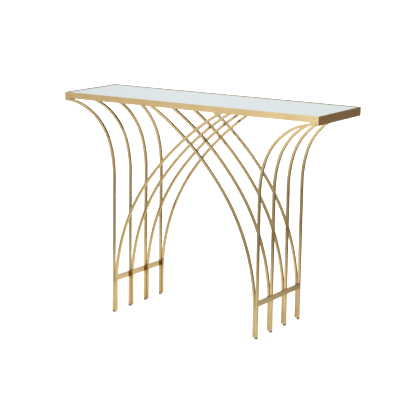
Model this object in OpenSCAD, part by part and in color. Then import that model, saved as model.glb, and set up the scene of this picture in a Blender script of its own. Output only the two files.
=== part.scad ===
// Console table: four flat frames of bent square bar under a shallow tray with an inset mirror.
// Origin: middle of the table on the floor. +X along the table, -Y to its front, +Z up.

/* [Overall size] */
// Length of the tray, along X
table_length = 1100; // [1000:10:1300]
// Depth of the tray, along Y
table_depth = 330; // [280:5:400]
// Height of the tray's rim above the floor
table_height = 840; // [760:5:900]

/* [Square bar] */
// Side of the square bar that legs, arches and end bars are made of
bar = 9.5; // [8:0.5:12]

/* [Tray] */
// Height of the tray's rails
rail_height = 23; // [20:1:30]
// Thickness of the rails' upright and of their ledge
rail_wall = 3; // [2.5:0.5:5]
// Width of the ledge that carries the top, from the rail's outer face
ledge_width = 18; // [16:1:24]
// Width of the flat cross bars under the top
crossbar_width = 25; // [20:1:40]
// Thickness of the mirror
mirror_thickness = 4; // [3:0.5:5]
// Thickness of the adhesive pads between mirror and board
pad_thickness = 1; // [0.5:0.5:1.5]
// Depth of the mirror's face below the rim
mirror_recess = 1.5; // [0:0.5:2]
// Gap between the top and the rails all round
top_gap = 1; // [0.5:0.5:2]
// Bevel along the mirror's upper edges
mirror_bevel = 1; // [0.5:0.5:2]

/* [Outer legs] */
// How far the tray reaches past the outer legs' feet at each end
leg_overhang = 226; // [216:1:228]
// Centreline radius of the long lower bend
leg_lower_radius = 415; // [380:5:440]
// Centreline radius of the tight upper bend
leg_upper_radius = 224; // [218:1:235]

/* [Inner arches] */
// Straight length at the foot of an arch
arch_straight = 90; // [70:1:110]
// Centreline radius of the arch's lower part
arch_lower_radius = 735; // [700:5:770]
// Centreline radius of the arch's flatter upper part
arch_upper_radius = 1085; // [1000:5:1200]

/* [Stretchers] */
// Height of the stretchers' section
stretcher_height = 20; // [14:1:28]
// Height of the stretchers' underside above the floor
stretcher_level = 122; // [100:1:150]

/* [Glides] */
// Diameter of a glide's foot
glide_diameter = 11.5; // [10:0.5:12]
// Height of a glide's foot
glide_height = 5.5; // [5:0.5:8]
// Diameter of a glide's stud
stud_diameter = 4.9; // [3.9:0.1:5.9]
// How far a glide screws out to level the table
glide_travel = 8; // [4:1:12]
// Length of stud left in the leg when its glide is fully out
stud_grip = 12; // [8:1:16]

/* [Screws] */
// Shank diameter of the screws that hold the board
screw_diameter = 3.5; // [3:0.5:4]
// Head diameter of those screws
screw_head = 7; // [6:0.5:8]

/* [Hidden] */
$fn = 64;
bend_facets = 1440;
frames = 4;
running_gap = 0.05;
glide_gap = 0.3;
weld_gap = 0.1;
spare = 1;

steel = "#c9a765";
dark_steel = "#6e6a62";
glass = "#dce4e8";
board = "#b8966a";
foam = "#f2f0ea";
nylon = "#2b2724";

half_length = table_length / 2;
half_depth = table_depth / 2;
frame_pitch = (table_depth - bar) / (frames - 1);
foot_level = glide_height + glide_gap;
tray_underside = table_height - rail_height;
ledge_top = tray_underside + rail_wall;
board_thickness = table_height - mirror_recess - mirror_thickness - pad_thickness - ledge_top;
pad_level = ledge_top + board_thickness;
mirror_level = pad_level + pad_thickness;
top_length = table_length - 2 * (rail_wall + top_gap);
top_depth = table_depth - 2 * (rail_wall + top_gap);

// Unit vectors along whole-number triangles, so that arcs of two radii meet exactly on them.
leg_knee = [7 / 25, 24 / 25];
arch_knee = [3 / 5, 4 / 5];
arch_limit = [24 / 25, 7 / 25];
upright = [0, 1];
level = [1, 0];

// Outer leg: straight, lower bend as far as leg_knee, then upper bend to the end bar's inner face.
foot_reach = half_length - leg_overhang;
leg_axis = foot_reach - bar / 2;
leg_run = leg_overhang - bar / 2;
leg_end_lean = acos(leg_knee[1] - (leg_run - leg_lower_radius * (1 - leg_knee[1])) / leg_upper_radius);
leg_rise = tray_underside - weld_gap - bar / 2 - foot_level;
leg_straight = leg_rise - leg_lower_radius * leg_knee[0]
    - leg_upper_radius * (sin(leg_end_lean) - leg_knee[0]);

// Inner arch: straight, lower bend as far as arch_knee, then flatter bend to the tray's underside.
arch_axis = foot_reach - 1.5 * bar;
arch_rise = tray_underside - foot_level;
arch_end_lean = asin(arch_knee[0] + (arch_rise - arch_straight - arch_lower_radius * arch_knee[0])
    / arch_upper_radius);
arch_run = arch_lower_radius * (1 - arch_knee[1])
    + arch_upper_radius * (arch_knee[1] - cos(arch_end_lean));
arch_top_reach = arch_run - arch_axis;

stud_length = glide_travel + stud_grip;
stud_bore_depth = stud_length + 2;
pad_size = [60, 20];
screw_head_height = 2;
screw_length = 14;
screw_inset = ledge_width / 2 + rail_wall / 2;
screw_columns = [-0.8, -0.45, 0.45, 0.8];

sides = ["left", "right"];

// Y of the front face of frame k, counted from 1 at the front.
function frame_front(k) = (k - 1) * frame_pitch - half_depth;

// Reflects its children to the given side: "right" is +X and "left" is -X.
module on_side(side) {
    mirror([side == "left" ? 1 : 0, 0, 0]) children();
}

// Part of a ring of the bar's width, for a bend that starts upright and leans to +X round a centre on
// its right: the part where the bend's direction turns from one unit vector to another.
module bend(radius, from, to) {
    reach = 4 * radius;
    intersection() {
        difference() {
            circle(radius + bar / 2, $fn = bend_facets);
            circle(radius - bar / 2, $fn = bend_facets);
        }
        polygon([[0, 0], reach * [-from[1], from[0]], reach * [-to[1], to[0]]]);
    }
}

// A bar from the origin up +Z that leans towards +X, from Y = start to Y = end: a straight stretch, a
// bend as far as the direction knee, and a bend of another radius as far as the direction last.
module bent_bar(straight, lower_radius, upper_radius, knee, last, start = 0, end = bar) {
    translate([0, end, 0]) rotate([90, 0, 0]) linear_extrude(end - start) {
        translate([-bar / 2, 0]) square([bar, straight]);
        translate([0, straight]) {
            translate([lower_radius, 0]) bend(lower_radius, upright, knee);
            translate([lower_radius, 0] + (upper_radius - lower_radius) * [knee[1], -knee[0]])
                bend(upper_radius, knee, last);
        }
    }
}

// Plan outline of a rail with mitred ends, whose outer edge runs along -Y of a length by depth rectangle.
module mitred_plan(length, depth) {
    corner = min(length, depth) / 2;
    polygon([[-length / 2, -depth / 2], [length / 2, -depth / 2],
        [length / 2 - corner, corner - depth / 2], [corner - length / 2, corner - depth / 2]]);
}

// Angle-section rail along the -Y edge of a length by depth rectangle.
module rail(length, depth) {
    intersection() {
        translate([0, 0, tray_underside]) linear_extrude(rail_height) mitred_plan(length, depth);
        translate([-length / 2, -depth / 2, tray_underside]) union() {
            cube([length, rail_wall, rail_height]);
            cube([length, ledge_width, rail_wall]);
        }
    }
}

module long_rail() {
    difference() {
        rail(table_length, table_depth);
        for (c = screw_columns) translate([c * half_length, screw_inset - half_depth, tray_underside])
            screw_hole();
    }
}

module end_rail() {
    rotate([0, 0, 90]) rail(table_depth, table_length);
}

// Clearance for a screw's shank and its countersunk head.
module screw_hole() {
    translate([0, 0, -spare]) cylinder(d = screw_diameter + 2 * running_gap, h = screw_length + 2 * spare);
    cylinder(d1 = screw_head + 2 * running_gap, d2 = screw_diameter + 2 * running_gap, h = screw_head_height);
}

module screw() {
    slot = [0.45 * screw_head, 1];
    difference() {
        union() {
            cylinder(d = screw_diameter, h = screw_length);
            cylinder(d1 = screw_head, d2 = screw_diameter, h = screw_head_height);
        }
        for (turn = [0, 90]) rotate([0, 0, turn])
            translate([-slot[0] / 2, -slot[1] / 2, -spare]) cube([slot[0], slot[1], 1.2 + spare]);
    }
}

module at_screws() {
    for (c = screw_columns, y = [-1, 1])
        translate([c * half_length, y * (half_depth - screw_inset), tray_underside]) children();
}

module front_rail() { color(steel) long_rail(); }
module back_rail() { color(steel) mirror([0, 1, 0]) long_rail(); }
module left_rail() { color(steel) mirror([1, 0, 0]) end_rail(); }
module right_rail() { color(steel) end_rail(); }

module crossbar(side) {
    color(steel) on_side(side)
        translate([arch_top_reach - crossbar_width / 2, ledge_width - half_depth, tray_underside])
            cube([crossbar_width, table_depth - 2 * ledge_width, rail_wall]);
}

module backing_board() {
    color(board) difference() {
        translate([-top_length / 2, -top_depth / 2, ledge_top])
            cube([top_length, top_depth, board_thickness]);
        at_screws() screw_hole();
    }
}

module mirror_pads() {
    color(foam) for (x = [-0.78, -0.26, 0.26, 0.78], y = [-0.5, 0.5])
        translate([x * half_length - pad_size[0] / 2, y * half_depth - pad_size[1] / 2, pad_level])
            cube([pad_size[0], pad_size[1], pad_thickness]);
}

// Cross-section of the mirror with bevelled upper edges.
module mirror_section(width) {
    polygon([[-width / 2, 0], [width / 2, 0], [width / 2, mirror_thickness - mirror_bevel],
        [width / 2 - mirror_bevel, mirror_thickness], [mirror_bevel - width / 2, mirror_thickness],
        [-width / 2, mirror_thickness - mirror_bevel]]);
}

module mirror_panel() {
    color(glass) translate([0, 0, mirror_level]) intersection() {
        translate([0, top_depth / 2, 0]) rotate([90, 0, 0])
            linear_extrude(top_depth) mirror_section(top_length);
        translate([-top_length / 2, 0, 0]) rotate([90, 0, 90])
            linear_extrude(top_length) mirror_section(top_depth);
    }
}

module board_screws() {
    color(dark_steel) at_screws() screw();
}

module end_bar(side) {
    color(steel) on_side(side)
        translate([half_length - bar, -half_depth, tray_underside - bar]) cube([bar, table_depth, bar]);
}

// Outer leg k, cut off square at the end bar, with a blind hole for its glide's stud.
module leg(side, k) {
    color(steel) on_side(side) translate([leg_axis, frame_front(k), foot_level]) difference() {
        bent_bar(leg_straight, leg_lower_radius, leg_upper_radius, leg_knee, level);
        translate([leg_run, -spare, leg_rise - bar]) cube([4 * bar, bar + 2 * spare, 2 * bar]);
        translate([0, bar / 2, -spare])
            cylinder(d = stud_diameter + 2 * running_gap, h = stud_bore_depth + spare);
    }
}

// The bar of an arch on the right side, before its top is cut off at the tray.
module arch_bar(k, start, end) {
    translate([arch_axis, frame_front(k), foot_level]) mirror([1, 0, 0])
        bent_bar(arch_straight, arch_lower_radius, arch_upper_radius, arch_knee, arch_limit, start, end);
}

// Inner arch k. The two arches of a frame are halved into each other where they cross:
// the left one keeps the front half of its thickness there, and the right one the back half.
module arch(side, k) {
    other = side == "left" ? "right" : "left";
    lap = side == "left" ? [bar / 2, bar + spare] : [-spare, bar / 2];
    color(steel) difference() {
        on_side(side) arch_bar(k, 0, bar);
        on_side(other) arch_bar(k, lap[0], lap[1]);
        translate([-half_length, -half_depth - spare, tray_underside])
            cube([table_length, table_depth + 2 * spare, table_height]);
    }
}

// Stretcher between frames k and k + 1, in line with the outer legs.
module stretcher(side, k) {
    color(steel) on_side(side)
        translate([foot_reach - bar, frame_front(k) + bar, stretcher_level])
            cube([bar, frame_pitch - bar, stretcher_height]);
}

module at_glide(side, k) {
    on_side(side) translate([leg_axis, frame_front(k) + bar / 2, 0]) children();
}

// A glide's moulded foot: a short skirt over a dome with a flat underside, round its stud.
module glide_foot(side, k) {
    radius = glide_diameter / 2;
    dome = 3;
    color(nylon) at_glide(side, k) rotate_extrude() difference() {
        union() {
            translate([0, dome]) square([radius, glide_height - dome]);
            square([radius - dome, dome]);
            translate([radius - dome, dome]) intersection() {
                circle(dome);
                translate([0, -dome]) square(dome);
            }
        }
        translate([0, glide_height / 2]) square([stud_diameter / 2, glide_height]);
    }
}

module glide_stud(side, k) {
    color(dark_steel) at_glide(side, k) translate([0, 0, glide_height / 2])
        cylinder(d = stud_diameter, h = foot_level + stud_length - glide_height / 2);
}

front_rail();
back_rail();
left_rail();
right_rail();
crossbar("left");  // left_crossbar
crossbar("right");  // right_crossbar
backing_board();
mirror_pads();
mirror_panel();  // mirror
board_screws();
end_bar("left");  // left_end_bar
end_bar("right");  // right_end_bar
for (s = sides, k = [1:frames]) {
    leg(s, k);
    arch(s, k);
    glide_foot(s, k);
    glide_stud(s, k);
    if (k < frames) stretcher(s, k);
}
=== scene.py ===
import math

import bmesh
import bpy
from mathutils import Matrix, Vector


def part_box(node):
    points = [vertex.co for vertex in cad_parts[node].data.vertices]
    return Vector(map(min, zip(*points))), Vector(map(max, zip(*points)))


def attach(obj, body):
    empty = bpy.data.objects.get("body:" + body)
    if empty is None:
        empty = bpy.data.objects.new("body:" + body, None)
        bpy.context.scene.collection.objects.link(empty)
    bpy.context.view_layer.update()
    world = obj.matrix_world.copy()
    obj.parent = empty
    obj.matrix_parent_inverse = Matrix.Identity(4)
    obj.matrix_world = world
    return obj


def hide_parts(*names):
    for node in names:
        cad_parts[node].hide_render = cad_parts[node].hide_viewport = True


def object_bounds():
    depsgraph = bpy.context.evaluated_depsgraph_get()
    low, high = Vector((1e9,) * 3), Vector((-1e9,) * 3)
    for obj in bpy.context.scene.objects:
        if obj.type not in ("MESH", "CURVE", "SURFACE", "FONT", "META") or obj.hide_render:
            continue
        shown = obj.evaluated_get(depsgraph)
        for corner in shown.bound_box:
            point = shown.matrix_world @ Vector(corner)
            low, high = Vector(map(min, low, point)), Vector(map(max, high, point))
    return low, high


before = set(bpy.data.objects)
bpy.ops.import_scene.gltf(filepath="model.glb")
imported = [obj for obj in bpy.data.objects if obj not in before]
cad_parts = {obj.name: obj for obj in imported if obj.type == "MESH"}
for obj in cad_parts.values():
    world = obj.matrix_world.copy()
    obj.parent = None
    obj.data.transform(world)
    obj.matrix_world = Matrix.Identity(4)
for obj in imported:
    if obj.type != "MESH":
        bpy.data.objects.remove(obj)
cad_low, cad_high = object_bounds()

SIDES = {"left": -1, "right": 1}
FRAMES = range(1, 5)
ROOT = "table"

# Camera: its direction, and its shift and distance from the foot of the tray's front edge.
CAMERA_AZIMUTH = math.radians(31.783)
CAMERA_ELEVATION = math.radians(11.825)
CAMERA_ROLL = math.radians(-0.917)
CAMERA_DISTANCE = 5.332
CAMERA_SIDEWAYS = 0.0978
CAMERA_UPWARDS = 0.4355
CAMERA_LENS = 121.24
CAMERA_SENSOR = 36.0
CAMERA_REACH = 200

# Places taken from the frame: the seam between a right leg and its arch, the height of the
# stretchers' middle, the front of the front frame, the bar's width and the pitch of the frames.
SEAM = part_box("right_stretcher_1")[0][0]
STRETCHER_MIDDLE = (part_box("right_stretcher_1")[0][2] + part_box("right_stretcher_1")[1][2]) / 2
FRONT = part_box("right_leg_1")[0][1]
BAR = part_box("right_leg_1")[1][1] - FRONT
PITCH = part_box("right_leg_2")[0][1] - FRONT

# Heat marks and painted seam shade, in metres: a halo of heat browning round the stretchers, and a
# dark line along the seam that is painted shade in the groove; both are painted stronger on the
# left and behind the front frame, where the seams lie in shade. A pair says where something begins
# to change and where it ends.
MARK_MIDDLE = SEAM - 0.0045          # their middle, a little on the arch's side of the seam
LINE_WIDTH = (0.0010, 0.0036)   # the dark line fades away from that middle
LINE_TOP = (0.010, 0.065)       # and above the stretchers' middle
HALO_WIDTH = (0.003, 0.018)     # the halo round a stretcher's end fades away from that middle
HALO_HEIGHT = (0, 0.028)        # and above and below the stretchers' middle
BESIDE_BAR = (0.001, 0.007)     # both fade beside the bars of a frame
TO_THE_RIGHT = (-0.1, 0.1)      # they get fainter from left to right
TO_THE_BACK = (0.02, 0.08)      # and stronger behind the front frame

# Strength of the marks: of the line of painted shade, of the heat halo at its middle and beside it,
# and as a share of the full strength on the right and on the front frame, where less shade is
# painted.
LINE_STRENGTH = 0.9
HALO_STRENGTH = (0.45, 0.2)
RIGHT_SHARE = 0.3
FRONT_SHARE = 0.3

# Softened edges, in metres.
BAR_EDGE = 0.001
RAIL_EDGE = 0.0005
CROSSBAR_EDGE = 0.0004
MIRROR_EDGE = 0.00015
BOARD_EDGE = 0.0003
FOOT_EDGE = 0.0003
SMALL_EDGE = 0.0001

# How the meshes of the CAD nodes are cleaned and shaded.
JOIN_DISTANCE = 0.000005
FLAT_ANGLE = math.radians(0.3)
SHARP_ANGLE = math.radians(35)
FLAT_FACE_WEIGHT = 60

# Weld beads, in metres.
BEAD_RADIUS = 0.0014
CROSSING_BEAD_RADIUS = 0.7 * BEAD_RADIUS
BEAD_RIPPLE = 0.0014
BEAD_RIPPLE_DEPTH = 0.16        # as a share of the radius
BEAD_TIP = 0.08                 # the tips' radius squared, as a share of the full radius squared
BEAD_SIDES = 10
BEAD_INSET = 0.0009
SEAM_DEPTH = 0.0005
FOOT_BEAD_BELOW = 0.002
FOOT_BEAD_ABOVE = 0.001
STITCH = 0.024
FLUSH_WITH_TRAY = 0.005
IN_PLANE = 0.00002

# Threads of the glides' studs, in metres.
THREAD_PITCH = 0.0008
THREAD_DEPTH = 0.00042
THREAD_SIDES = 16

RINGS_PER_TURN = 6              # of a bead's ripple or of a thread

# Stage, in metres: the white floor, and the sheet on it that only metal reflects.
FLOOR_RADIUS = 60
SHEET_RADIUS = 5
SHEET_LIFT = 0.0002
DISC_SIDES = 96
FLOOR_GLOW = 0.36               # how strongly each lights itself
SHEET_GLOW = 1.05
PAPER_FINISH = {"Roughness": 0.95, "Specular_IOR_Level": 0.1}


# ---------------------------------------------------------------- node helpers

class Nodes:
    """A node tree, with short calls for the nodes that this scene uses."""

    def __init__(self, tree):
        self.tree = tree

    def node(self, kind, **settings):
        new = self.tree.nodes.new(kind)
        for key, value in settings.items():
            setattr(new, key, value)
        return new

    def link(self, source, target):
        self.tree.links.new(source, target)

    def plug(self, socket, value):
        """Sets a socket to a constant, or links it to another node's output."""
        if isinstance(value, bpy.types.NodeSocket):
            self.link(value, socket)
        else:
            socket.default_value = value

    def math(self, operation, first, second=0.0):
        new = self.node("ShaderNodeMath", operation=operation)
        self.plug(new.inputs[0], first)
        self.plug(new.inputs[1], second)
        return new.outputs["Value"]

    def vector_math(self, operation, first, second, output):
        new = self.node("ShaderNodeVectorMath", operation=operation)
        self.plug(new.inputs[0], first)
        self.plug(new.inputs[1], second)
        return new.outputs[output]


class Shader(Nodes):
    """A material's node tree."""

    def __init__(self, name):
        self.material = bpy.data.materials.new(name)
        self.material.use_nodes = True
        super().__init__(self.material.node_tree)
        self.surface = self.tree.nodes["Principled BSDF"]

    def set(self, **values):
        """Sets the surface's own sockets; underscores in a name stand for spaces."""
        for key, value in values.items():
            self.plug(self.surface.inputs[key.replace("_", " ")], value)

    def position(self, stretch=(1, 1, 1)):
        """Place in the table's own frame, stretched along each axis."""
        coords = self.node("ShaderNodeTexCoord")
        mapping = self.node("ShaderNodeMapping")
        mapping.inputs["Scale"].default_value = stretch
        self.link(coords.outputs["Object"], mapping.inputs["Vector"])
        return mapping.outputs["Vector"]

    def noise(self, vector, scale, detail=2.0, roughness=0.5):
        new = self.node("ShaderNodeTexNoise")
        self.link(vector, new.inputs["Vector"])
        new.inputs["Scale"].default_value = scale
        new.inputs["Detail"].default_value = detail
        new.inputs["Roughness"].default_value = roughness
        return new.outputs["Fac"]

    def spread(self, value, low, high, start=0.3, end=0.7):
        """Maps a value between start and end to a value between low and high.
        The range 0.3 to 0.7 is the one that noise keeps to."""
        new = self.node("ShaderNodeMapRange")
        self.link(value, new.inputs["Value"])
        new.inputs["From Min"].default_value = start
        new.inputs["From Max"].default_value = end
        new.inputs["To Min"].default_value = low
        new.inputs["To Max"].default_value = high
        return new.outputs["Result"]

    def mix(self, factor, first, second):
        new = self.node("ShaderNodeMix", data_type="RGBA")
        self.plug(new.inputs["Factor"], factor)
        self.plug(new.inputs["A"], first)
        self.plug(new.inputs["B"], second)
        return new.outputs["Result"]

    def part(self, vector, axis):
        """One coordinate of a vector."""
        new = self.node("ShaderNodeSeparateXYZ")
        self.link(vector, new.inputs["Vector"])
        return new.outputs[axis]

    def distance_from(self, value, centre):
        """How far a number is from a centre, either way."""
        return self.math("ABSOLUTE", self.math("SUBTRACT", value, centre))

    def bump(self, height, distance, strength, under=None):
        """Normal of a surface with a fine relief, which may lie on top of another relief."""
        new = self.node("ShaderNodeBump")
        new.inputs["Distance"].default_value = distance
        new.inputs["Strength"].default_value = strength
        self.link(height, new.inputs["Height"])
        if under is not None:
            self.link(under, new.inputs["Normal"])
        return new.outputs["Normal"]


# ---------------------------------------------------------------- materials

def heat_and_seam_shade(s, place):
    """How far the bars are browned or shaded, from 0 to 1: a halo of heat browning at the
    stretchers, and a line of painted shade along the seam between a leg and its arch; both are
    painted stronger on the left and behind the front frame, following the shade."""
    side, depth, height = (s.part(place, axis) for axis in "XYZ")
    off_middle = s.distance_from(s.math("ABSOLUTE", side), MARK_MIDDLE)
    off_stretcher = s.distance_from(height, STRETCHER_MIDDLE)
    halo = s.math("MULTIPLY", s.spread(off_stretcher, 1, 0, *HALO_HEIGHT),
                  s.spread(off_middle, *HALO_STRENGTH, *HALO_WIDTH))
    # the line along the seam is painted shade in the groove between a leg and its arch
    line_top = [STRETCHER_MIDDLE + rise for rise in LINE_TOP]
    line = s.math("MULTIPLY", s.spread(off_middle, 1, 0, *LINE_WIDTH),
                  s.spread(height, LINE_STRENGTH, 0, *line_top))
    frames = s.math("DIVIDE", s.math("SUBTRACT", depth, FRONT + BAR / 2), PITCH)
    off_frame = s.distance_from(s.math("FRACT", s.math("ADD", frames, 0.5)), 0.5)
    near_frame = s.spread(off_frame, 1, 0, *[(BAR / 2 + gap) / PITCH for gap in BESIDE_BAR])
    mark = s.math("MULTIPLY", near_frame, s.math("ADD", halo, line))
    # painted shade: fainter to the right and on the front frame
    mark = s.math("MULTIPLY", mark, s.spread(side, 1, RIGHT_SHARE, *TO_THE_RIGHT))
    behind_front = [FRONT + y for y in TO_THE_BACK]
    mark = s.math("MULTIPLY", mark, s.spread(depth, FRONT_SHARE, 1, *behind_front))
    return s.math("MULTIPLY", mark, s.spread(s.noise(place, scale=90, detail=3), 0.7, 1))


def gold(name, grain):
    """Satin gold plating on drawn bar, with its fine draw lines along one axis of the table."""
    deep, fair, pale = (0.61, 0.435, 0.195, 1), (0.70, 0.535, 0.27, 1), (0.76, 0.62, 0.37, 1)
    # brown of the heat halo, also used for the painted shade along the seams
    heat_and_shade_brown = (0.21, 0.080, 0.012, 1)
    along_grain = 0.03
    s = Shader(name)
    place = s.position()
    cloud = s.noise(place, scale=14, detail=3)
    drawn = s.position([along_grain if axis == grain else 1.0 for axis in "XYZ"])
    lines = s.noise(drawn, scale=1400, detail=2, roughness=0.6)
    speck = s.noise(place, scale=900, detail=1)
    tone = s.mix(s.spread(cloud, 0, 1), deep, fair)
    tone = s.mix(s.spread(lines, 0, 0.35), tone, pale)
    # heat browning at the stretchers, and painted shade along the seams
    tone = s.mix(heat_and_seam_shade(s, place), tone, heat_and_shade_brown)
    rough = s.math("ADD", s.spread(cloud, 0.10, 0.14), s.spread(lines, -0.02, 0.04))
    s.set(Base_Color=tone, Metallic=1.0, Roughness=rough)
    fine = s.bump(lines, distance=0.00003, strength=0.5)
    s.set(Normal=s.bump(speck, distance=0.00002, strength=0.35, under=fine))
    return s.material


def weld_gold(name, dark, light):
    """Gold over a weld bead: browned by heat and a little rougher."""
    s = Shader(name)
    place = s.position()
    burn = s.noise(place, scale=260, detail=3, roughness=0.6)
    s.set(Base_Color=s.mix(s.spread(burn, 0, 1), dark, light), Metallic=1.0)
    s.set(Roughness=s.spread(burn, 0.32, 0.5))
    s.set(Normal=s.bump(s.noise(place, scale=1500, detail=2), distance=0.00006, strength=0.6))
    return s.material


def mirror_glass():
    """Silvered glass: a mirror from above, green at its cut edges and painted grey behind.
    Along its rim the silver gives way to a painted dark line, the shade at its edge against the
    rails."""
    cut_green, back_grey = (0.10, 0.24, 0.19, 1), (0.16, 0.17, 0.18, 1)
    silver_cool, silver_fair = (0.90, 0.945, 0.965, 1), (0.925, 0.96, 0.975, 1)
    # painted shade: a dark line along the rim, where the mirror meets the rails
    painted_rim_shade = (0.22, 0.23, 0.21, 1)
    rim_width = (0.0035, 0.0049)
    level = 0.4         # how far a face's normal points up or down for the top or the back
    back_rough = 0.4
    s = Shader("mirror_glass")
    place = s.position()
    facing = s.part(s.node("ShaderNodeNewGeometry").outputs["Normal"], "Z")
    polished = s.math("GREATER_THAN", facing, level)
    behind = s.math("LESS_THAN", facing, -level)
    smear = s.noise(place, scale=6, detail=4, roughness=0.55)
    half_length, half_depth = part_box("mirror")[1][:2]
    to_end = s.math("SUBTRACT", half_length, s.math("ABSOLUTE", s.part(place, "X")))
    to_side = s.math("SUBTRACT", half_depth, s.math("ABSOLUTE", s.part(place, "Y")))
    inside = s.spread(s.math("MINIMUM", to_end, to_side), 0, 1, *rim_width)
    silver = s.mix(inside, painted_rim_shade, s.mix(s.spread(smear, 0, 1), silver_cool, silver_fair))
    unsilvered = s.mix(behind, cut_green, back_grey)
    s.set(Base_Color=s.mix(polished, unsilvered, silver), Metallic=polished)
    rough = s.math("MULTIPLY", behind, back_rough)
    s.set(Roughness=s.math("ADD", rough, s.spread(smear, 0.012, 0.04)))
    s.set(Normal=s.bump(s.noise(place, scale=3.5, detail=1), distance=0.0002, strength=0.25))
    return s.material


def fibreboard():
    """Fibreboard in near-black brown, with its pressed fibres and paler patches showing in it."""
    black, brown = (0.020, 0.014, 0.010, 1), (0.045, 0.033, 0.023, 1)
    pale_patch = (0.075, 0.052, 0.032, 1)
    s = Shader("fibreboard")
    fibres = s.noise(s.position((1, 0.35, 1)), scale=420, detail=5, roughness=0.65)
    patches = s.noise(s.position(), scale=9, detail=2)
    tone = s.mix(s.spread(patches, 0, 0.4), s.mix(s.spread(fibres, 0, 1), black, brown), pale_patch)
    s.set(Base_Color=tone, Roughness=s.spread(fibres, 0.62, 0.85), Specular_IOR_Level=0.35)
    s.set(Normal=s.bump(fibres, distance=0.00012, strength=0.6))
    return s.material


def foam():
    """Closed-cell adhesive foam."""
    hollow, wall = (0.62, 0.61, 0.58, 1), (0.86, 0.85, 0.82, 1)
    cells_per_metre = 2500
    s = Shader("foam")
    cells = s.node("ShaderNodeTexVoronoi")
    s.link(s.position(), cells.inputs["Vector"])
    cells.inputs["Scale"].default_value = cells_per_metre
    depth = s.spread(cells.outputs["Distance"], 0, 1, 0, 0.8)
    s.set(Base_Color=s.mix(depth, hollow, wall), Roughness=0.85)
    s.set(Normal=s.bump(depth, distance=0.0001, strength=0.5))
    return s.material


def zinc():
    """Bright zinc plating with faint crystal mottling."""
    dull, bright = (0.46, 0.45, 0.43, 1), (0.62, 0.61, 0.60, 1)
    s = Shader("zinc")
    mottle = s.noise(s.position(), scale=700, detail=3, roughness=0.6)
    s.set(Base_Color=s.mix(s.spread(mottle, 0, 1), dull, bright), Metallic=1.0)
    s.set(Roughness=s.spread(mottle, 0.24, 0.42))
    s.set(Normal=s.bump(mottle, distance=0.00004, strength=0.4))
    return s.material


def nylon():
    """Moulded dark nylon, scuffed paler underneath where it slides on the floor."""
    dark, fair, scuffed = (0.060, 0.054, 0.048, 1), (0.095, 0.086, 0.077, 1), (0.24, 0.23, 0.21, 1)
    sole = (0.0, 0.0012)
    s = Shader("nylon")
    place = s.position()
    grain = s.noise(place, scale=1600, detail=2, roughness=0.6)
    scuffs = s.noise(s.position((1, 0.12, 1)), scale=1200, detail=3, roughness=0.7)
    worn = s.math("MULTIPLY", s.spread(s.part(place, "Z"), 1, 0, *sole), s.spread(scuffs, 0, 0.7))
    s.set(Base_Color=s.mix(worn, s.mix(s.spread(grain, 0, 1), dark, fair), scuffed))
    s.set(Roughness=s.spread(grain, 0.38, 0.55))
    s.set(Normal=s.bump(grain, distance=0.00006, strength=0.4))
    return s.material


def paper():
    """Pale studio paper, a little self-lit so that it renders plain white."""
    shade, fair = (0.90, 0.90, 0.90, 1), (0.915, 0.915, 0.915, 1)
    s = Shader("paper")
    tooth = s.noise(s.position(), scale=60, detail=3)
    s.set(Base_Color=s.mix(s.spread(tooth, 0, 1), shade, fair), **PAPER_FINISH)
    s.set(Emission_Color=(1, 1, 1, 1), Emission_Strength=FLOOR_GLOW)
    return s.material


def painted_reflection_sheet(middle, bright, dark, thin, gone):
    """A painted reflection: the floor as metal reflects it, self-lit so that the table's own shadow
    doesn't blacken it. Its colour is painted shade for the metal to reflect: it darkens between the
    distances bright and dark from its middle, more so to the right, and again far behind to the
    right, and fades out between the distances thin and gone."""
    # painted shade for the metal to reflect: light near the table, darker to the right and far
    # behind
    near, far_behind = (0.43, 0.422, 0.405, 1), (0.06, 0.055, 0.048, 1)
    far_left, far_right = (0.235, 0.225, 0.204, 1), (0.165, 0.158, 0.143, 1)
    slant = 0.62                    # of the line between left and right, which runs to the back
    left_to_right = (-0.15, 0.2)
    to_far_behind = (0.2, 2.0)
    s = Shader("painted_reflection_sheet")
    place = s.position()
    x, y = s.part(place, "X"), s.part(place, "Y")
    distance = s.vector_math("DISTANCE", place, middle, "Value")
    to_right = s.math("SUBTRACT", x, s.math("MULTIPLY", y, slant))
    far = s.mix(s.spread(to_right, 0, 1, *left_to_right), far_left, far_right)
    shade = s.mix(s.spread(distance, 0, 1, bright, dark), near, far)
    shade = s.mix(s.spread(s.math("ADD", x, y), 0, 0.8, *to_far_behind), shade, far_behind)
    s.set(Base_Color=shade, **PAPER_FINISH)
    s.set(Emission_Color=shade, Emission_Strength=SHEET_GLOW)
    s.set(Alpha=s.spread(distance, 1, 0, thin, gone))
    return s.material


GOLD_ALONG = {axis: gold(f"gold_{axis.lower()}", axis) for axis in "XYZ"}
WELD_GOLD = weld_gold("weld_gold", (0.40, 0.24, 0.09, 1), (0.62, 0.43, 0.19, 1))
WELD_BURN = weld_gold("weld_burn", (0.16, 0.06, 0.015, 1), (0.40, 0.20, 0.06, 1))
ZINC = zinc()
NYLON = nylon()


# ---------------------------------------------------------------- CAD nodes

def finish_node(name, material, edge, segments=3):
    """Gives a CAD node its material and softens its sharp edges."""
    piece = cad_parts[name]
    piece.data.materials.clear()
    piece.data.materials.append(material)
    for face in piece.data.polygons:
        face.use_smooth = True
    weld = piece.modifiers.new("joined", "WELD")
    weld.merge_threshold = JOIN_DISTANCE
    flat = piece.modifiers.new("flat faces", "DECIMATE")
    flat.decimate_type = "DISSOLVE"
    flat.angle_limit = FLAT_ANGLE
    soft = piece.modifiers.new("soft edges", "BEVEL")
    soft.width = edge
    soft.segments = segments
    soft.limit_method = "ANGLE"
    soft.angle_limit = SHARP_ANGLE
    even = piece.modifiers.new("even shading", "WEIGHTED_NORMAL")
    even.mode = "FACE_AREA"
    even.weight = FLAT_FACE_WEIGHT


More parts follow.
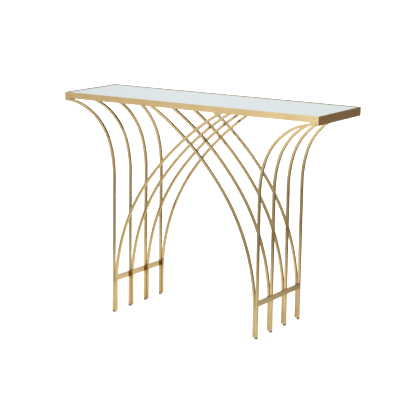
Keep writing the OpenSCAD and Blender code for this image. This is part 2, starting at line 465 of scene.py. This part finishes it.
def finish_top():
    """The tray and what lies in it."""
    for name in ("front_rail", "back_rail"):
        finish_node(name, GOLD_ALONG["X"], RAIL_EDGE)
    for side in SIDES:
        finish_node(f"{side}_rail", GOLD_ALONG["Y"], RAIL_EDGE)
        finish_node(f"{side}_crossbar", GOLD_ALONG["Y"], CROSSBAR_EDGE)
    finish_node("mirror", mirror_glass(), MIRROR_EDGE, 2)
    finish_node("backing_board", fibreboard(), BOARD_EDGE, 2)
    finish_node("mirror_pads", foam(), SMALL_EDGE, 1)
    finish_node("board_screws", ZINC, SMALL_EDGE, 1)


def finish_frames():
    """The bars under the tray, and the feet of the glides."""
    for side in SIDES:
        finish_node(f"{side}_end_bar", GOLD_ALONG["Y"], BAR_EDGE)
        for k in FRAMES:
            finish_node(f"{side}_leg_{k}", GOLD_ALONG["Z"], BAR_EDGE)
            finish_node(f"{side}_arch_{k}", GOLD_ALONG["Z"], BAR_EDGE)
            finish_node(f"{side}_glide_foot_{k}", NYLON, FOOT_EDGE, 2)
        for k in FRAMES[:-1]:
            finish_node(f"{side}_stretcher_{k}", GOLD_ALONG["Y"], BAR_EDGE)


# ---------------------------------------------------------------- new pieces

def add_piece(name, shape, material, body=ROOT):
    """Turns a bmesh into a smooth piece of the table that moves with a body."""
    bmesh.ops.recalc_face_normals(shape, faces=shape.faces)
    mesh = bpy.data.meshes.new(name)
    shape.to_mesh(mesh)
    shape.free()
    mesh.materials.append(material)
    for face in mesh.polygons:
        face.use_smooth = True
    piece = bpy.data.objects.new(name, mesh)
    bpy.context.scene.collection.objects.link(piece)
    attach(piece, body)
    return piece


def close_rings(shape, rings):
    """Skins a row of rings of vertices and caps both ends."""
    count = len(rings[0])
    for lower, upper in zip(rings, rings[1:]):
        for i in range(count):
            j = (i + 1) % count
            shape.faces.new((lower[i], lower[j], upper[j], upper[i]))
    shape.faces.new(rings[0])
    shape.faces.new(rings[-1])


def add_bead(shape, start, end, radius=BEAD_RADIUS):
    """A weld bead on a straight line: overlapping ripples that taper at both ends."""
    start, end = Vector(start), Vector(end)
    length = (end - start).length
    along = (end - start).normalized()
    aside = along.orthogonal().normalized()
    other = along.cross(aside)
    steps = max(8, round(length / BEAD_RIPPLE * RINGS_PER_TURN))
    angles = [2 * math.pi * j / BEAD_SIDES for j in range(BEAD_SIDES)]
    rings = []
    for i in range(steps + 1):
        travel = i / steps
        ripple = 1 - BEAD_RIPPLE_DEPTH * abs(math.sin(math.pi * travel * length / BEAD_RIPPLE))
        taper = math.sqrt(min(1.0, BEAD_TIP + min(travel, 1 - travel) * length / radius))
        wide = radius * ripple * taper
        centre = start + along * (travel * length)
        rings.append([shape.verts.new(centre + wide * (math.cos(a) * aside + math.sin(a) * other))
                      for a in angles])
    close_rings(shape, rings)


def points_in_plane(name, plane, axis):
    """The vertices of a CAD node that lie in a plane across an axis of the table."""
    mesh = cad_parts[name].data
    return [v.co.copy() for v in mesh.vertices if abs(v.co[axis] - plane) < IN_PLANE]


def nearest_x(low, high, sign):
    """The side of a box that faces the middle of the table, for a box on that side of it."""
    return sign * min(abs(low[0]), abs(high[0]))


def stretcher_welds(shape, side):
    """Beads along the top and the bottom of a stretcher's ends, where they meet the legs."""
    for k in FRAMES[:-1]:
        low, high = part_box(f"{side}_stretcher_{k}")
        for y in (low[1], high[1]):
            for z in (low[2], high[2]):
                add_bead(shape, (low[0] + BEAD_INSET, y, z), (high[0] - BEAD_INSET, y, z))


def foot_welds(shape, side, sign):
    """Upright beads between a leg and its arch, at the height of the stretchers."""
    low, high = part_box(f"{side}_stretcher_1")
    seam = nearest_x(low, high, sign)
    bottom, top = low[2] - FOOT_BEAD_BELOW, high[2] + FOOT_BEAD_ABOVE
    for k in FRAMES:
        leg_low, leg_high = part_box(f"{side}_leg_{k}")
        for y in (leg_low[1] + SEAM_DEPTH, leg_high[1] - SEAM_DEPTH):
            add_bead(shape, (seam, y, bottom), (seam, y, top))


def leg_top_welds(shape, side, sign):
    """Beads round the end of each leg on the end bar, and stitches between it and the tray."""
    low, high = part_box(f"{side}_end_bar")
    inner = nearest_x(low, high, sign)
    legs = [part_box(f"{side}_leg_{k}") for k in FRAMES]
    for leg_low, leg_high in legs:
        y0, y1 = leg_low[1] + BEAD_INSET, leg_high[1] - BEAD_INSET
        add_bead(shape, (inner, y0, low[2]), (inner, y1, low[2]))
    for (_, near), (far, _) in zip(legs, legs[1:]):
        middle = (near[1] + far[1]) / 2
        y0, y1 = middle - STITCH / 2, middle + STITCH / 2
        add_bead(shape, (inner, y0, high[2]), (inner, y1, high[2]))
        for y in (near[1], far[1]):
            add_bead(shape, (inner, y, low[2] + BEAD_INSET), (inner, y, high[2] - BEAD_INSET))


def arch_top_welds(shape, side):
    """Beads round the top of each arch, under the tray, but for the sides flush with the tray's."""
    for k in FRAMES:
        name = f"{side}_arch_{k}"
        low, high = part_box(name)
        top = [point.x for point in points_in_plane(name, high[2], 2)]
        near, far = min(top), max(top)
        for x in (near, far):
            add_bead(shape, (x, low[1] + BEAD_INSET, high[2]), (x, high[1] - BEAD_INSET, high[2]))
        for y in (low[1], high[1]):
            if abs(y) < abs(cad_high[1]) - FLUSH_WITH_TRAY:
                add_bead(shape, (near + BEAD_INSET, y, high[2]), (far - BEAD_INSET, y, high[2]))


def crossing_welds(shape):
    """Beads in the four corners where a frame's arches cross."""
    for k in FRAMES:
        low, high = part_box(f"left_arch_{k}")
        y0, y1 = low[1] + BEAD_INSET, high[1] - BEAD_INSET
        lap = points_in_plane(f"left_arch_{k}", (low[1] + high[1]) / 2, 1)
        for axis in (0, 2):
            for extreme in (min, max):
                x, _, z = extreme(lap, key=lambda point: point[axis])
                add_bead(shape, (x, y0, z), (x, y1, z), CROSSING_BEAD_RADIUS)


def add_welds():
    for side, sign in SIDES.items():
        shape = bmesh.new()
        stretcher_welds(shape, side)
        leg_top_welds(shape, side, sign)
        arch_top_welds(shape, side)
        add_piece(f"{side}_welds", shape, WELD_GOLD)
        shape = bmesh.new()
        foot_welds(shape, side, sign)
        add_piece(f"{side}_foot_welds", shape, WELD_BURN)
    shape = bmesh.new()
    crossing_welds(shape)
    add_piece("crossing_welds", shape, WELD_BURN)


def thread_ring(shape, centre, radius, bottom, z):
    """One level ring of an upright thread that starts at a height called bottom."""
    ring = []
    for j in range(THREAD_SIDES):
        turn = j / THREAD_SIDES
        phase = ((z - bottom) / THREAD_PITCH - turn) % 1
        reach = radius - THREAD_DEPTH * abs(2 * phase - 1)
        angle = 2 * math.pi * turn
        ring.append(shape.verts.new((centre.x + reach * math.cos(angle),
                                     centre.y + reach * math.sin(angle), z)))
    return ring


def add_threaded_studs():
    """Replaces each glide's plain stud by one with its thread."""
    for side in SIDES:
        for k in FRAMES:
            name = f"{side}_glide_stud_{k}"
            low, high = (Vector(corner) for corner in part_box(name))
            length = high.z - low.z
            radius = (high.x - low.x) / 2
            steps = round(length / THREAD_PITCH * RINGS_PER_TURN)
            shape = bmesh.new()
            close_rings(shape, [thread_ring(shape, (low + high) / 2, radius, low.z,
                                            low.z + length * i / steps) for i in range(steps + 1)])
            stud = add_piece(f"{side}_thread_{k}", shape, ZINC, f"{side}_glide_{k}")
            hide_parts(name)


# ---------------------------------------------------------------- camera, floor and light

def add_camera():
    a, e, r = CAMERA_AZIMUTH, CAMERA_ELEVATION, CAMERA_ROLL
    back = Vector((math.sin(a) * math.cos(e), -math.cos(a) * math.cos(e), math.sin(e)))
    right = Vector((math.cos(a), math.sin(a), 0))
    up = back.cross(right)
    front_edge = Vector((0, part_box("front_rail")[0][1], 0))
    shift = right * CAMERA_SIDEWAYS + up * CAMERA_UPWARDS + back * CAMERA_DISTANCE
    rolled_right = right * math.cos(r) - up * math.sin(r)
    rolled_up = right * math.sin(r) + up * math.cos(r)
    turn = Matrix((rolled_right, rolled_up, back)).transposed().to_4x4()
    data = bpy.data.cameras.new("camera")
    data.lens = CAMERA_LENS
    data.sensor_width = CAMERA_SENSOR
    data.clip_end = CAMERA_REACH
    camera = bpy.data.objects.new("camera", data)
    camera.matrix_world = Matrix.Translation(front_edge + shift) @ turn
    bpy.context.scene.collection.objects.link(camera)
    bpy.context.scene.camera = camera


def disc(name, radius, height, material):
    """A flat round sheet of the stage."""
    mesh = bpy.data.meshes.new(name)
    shape = bmesh.new()
    bmesh.ops.create_circle(shape, cap_ends=True, segments=DISC_SIDES, radius=radius)
    shape.to_mesh(mesh)
    shape.free()
    mesh.materials.append(material)
    sheet = bpy.data.objects.new(name, mesh)
    sheet.location.z = height
    bpy.context.scene.collection.objects.link(sheet)
    return sheet


def add_floor():
    """A wide white floor, and a smaller sheet on it that polished metal reflects instead, coloured
    with painted shade as a painted reflection.
    """
    floor = disc("floor", FLOOR_RADIUS, -SHEET_LIFT, paper())
    floor.visible_glossy = False
    reflected = painted_reflection_sheet(middle=(-0.2, 0, 0), bright=0.55, dark=1.3, thin=2.6, gone=4.2)
    sheet = disc("painted_reflection_floor", SHEET_RADIUS, SHEET_LIFT, reflected)
    sheet.visible_camera = False
    sheet.visible_diffuse = False
    sheet.visible_shadow = False


def add_world(base, glows):
    """Soft studio surroundings: an even base and round glows, each with a direction, a sharpness
    and a colour."""
    world = bpy.data.worlds.new("studio")
    bpy.context.scene.world = world
    world.use_nodes = True
    n = Nodes(world.node_tree)
    unit = n.node("ShaderNodeVectorMath", operation="NORMALIZE")
    n.link(n.node("ShaderNodeTexCoord").outputs["Generated"], unit.inputs[0])
    total = base
    for direction, sharpness, colour in glows:
        towards = Vector(direction).normalized()
        facing = n.vector_math("DOT_PRODUCT", unit.outputs["Vector"], towards, "Value")
        glow = n.node("ShaderNodeVectorMath", operation="SCALE")
        glow.inputs[0].default_value = colour
        n.link(n.math("POWER", n.math("MAXIMUM", facing, 0.0), sharpness), glow.inputs["Scale"])
        total = n.vector_math("ADD", glow.outputs["Vector"], total, "Vector")
    n.link(total, n.tree.nodes["Background"].inputs["Color"])


def add_softbox(name, place, target, size, power):
    data = bpy.data.lights.new(name, "AREA")
    data.shape = "SQUARE"
    data.size = size
    data.energy = power
    light = bpy.data.objects.new(name, data)
    light.location = place
    light.rotation_euler = (Vector(target) - Vector(place)).to_track_quat("-Z", "Y").to_euler()
    light.visible_camera = False
    bpy.context.scene.collection.objects.link(light)


finish_top()
finish_frames()
add_welds()
add_threaded_studs()
add_camera()
add_floor()
add_world(base=(0.10, 0.08, 0.06), glows=[
    ((0, 0, 1), 10, (6.3, 6.3, 6.3)),                   # overhead
    ((0.60, 0.75, -0.35), 6, (0.18, 0.13, 0.11)),       # low behind, to the right: warm
    ((-0.53, -0.82, -0.26), 9, (0.64, 0.615, 0.59)),    # low in front, to the left
    ((-0.35, -0.93, -0.10), 60, (0.85, 0.92, 1.05)),    # in front, to the left: narrow and cool
    ((-0.50, 0.85, 0.18), 12, (0.67, 0.735, 0.755)),    # behind, to the left
    ((0.33, 0.83, 0.45), 14, (0.50, 0.51, 0.48)),       # high behind, to the right
    ((0.60, -0.75, 0.25), 8, (0.42, 0.44, 0.45)),       # in front, to the right
    ((1.0, -0.25, 0.1), 4, (0.5, 0.5, 0.5)),            # right
    ((-1.0, -0.1, 0.1), 4, (0.45, 0.45, 0.45)),         # left
])
add_softbox("key", place=(-1.6, -2.6, 3.2), target=(0, 0, 0.4), size=2.4, power=50)
bpy.context.scene.view_settings.view_transform = "Standard"
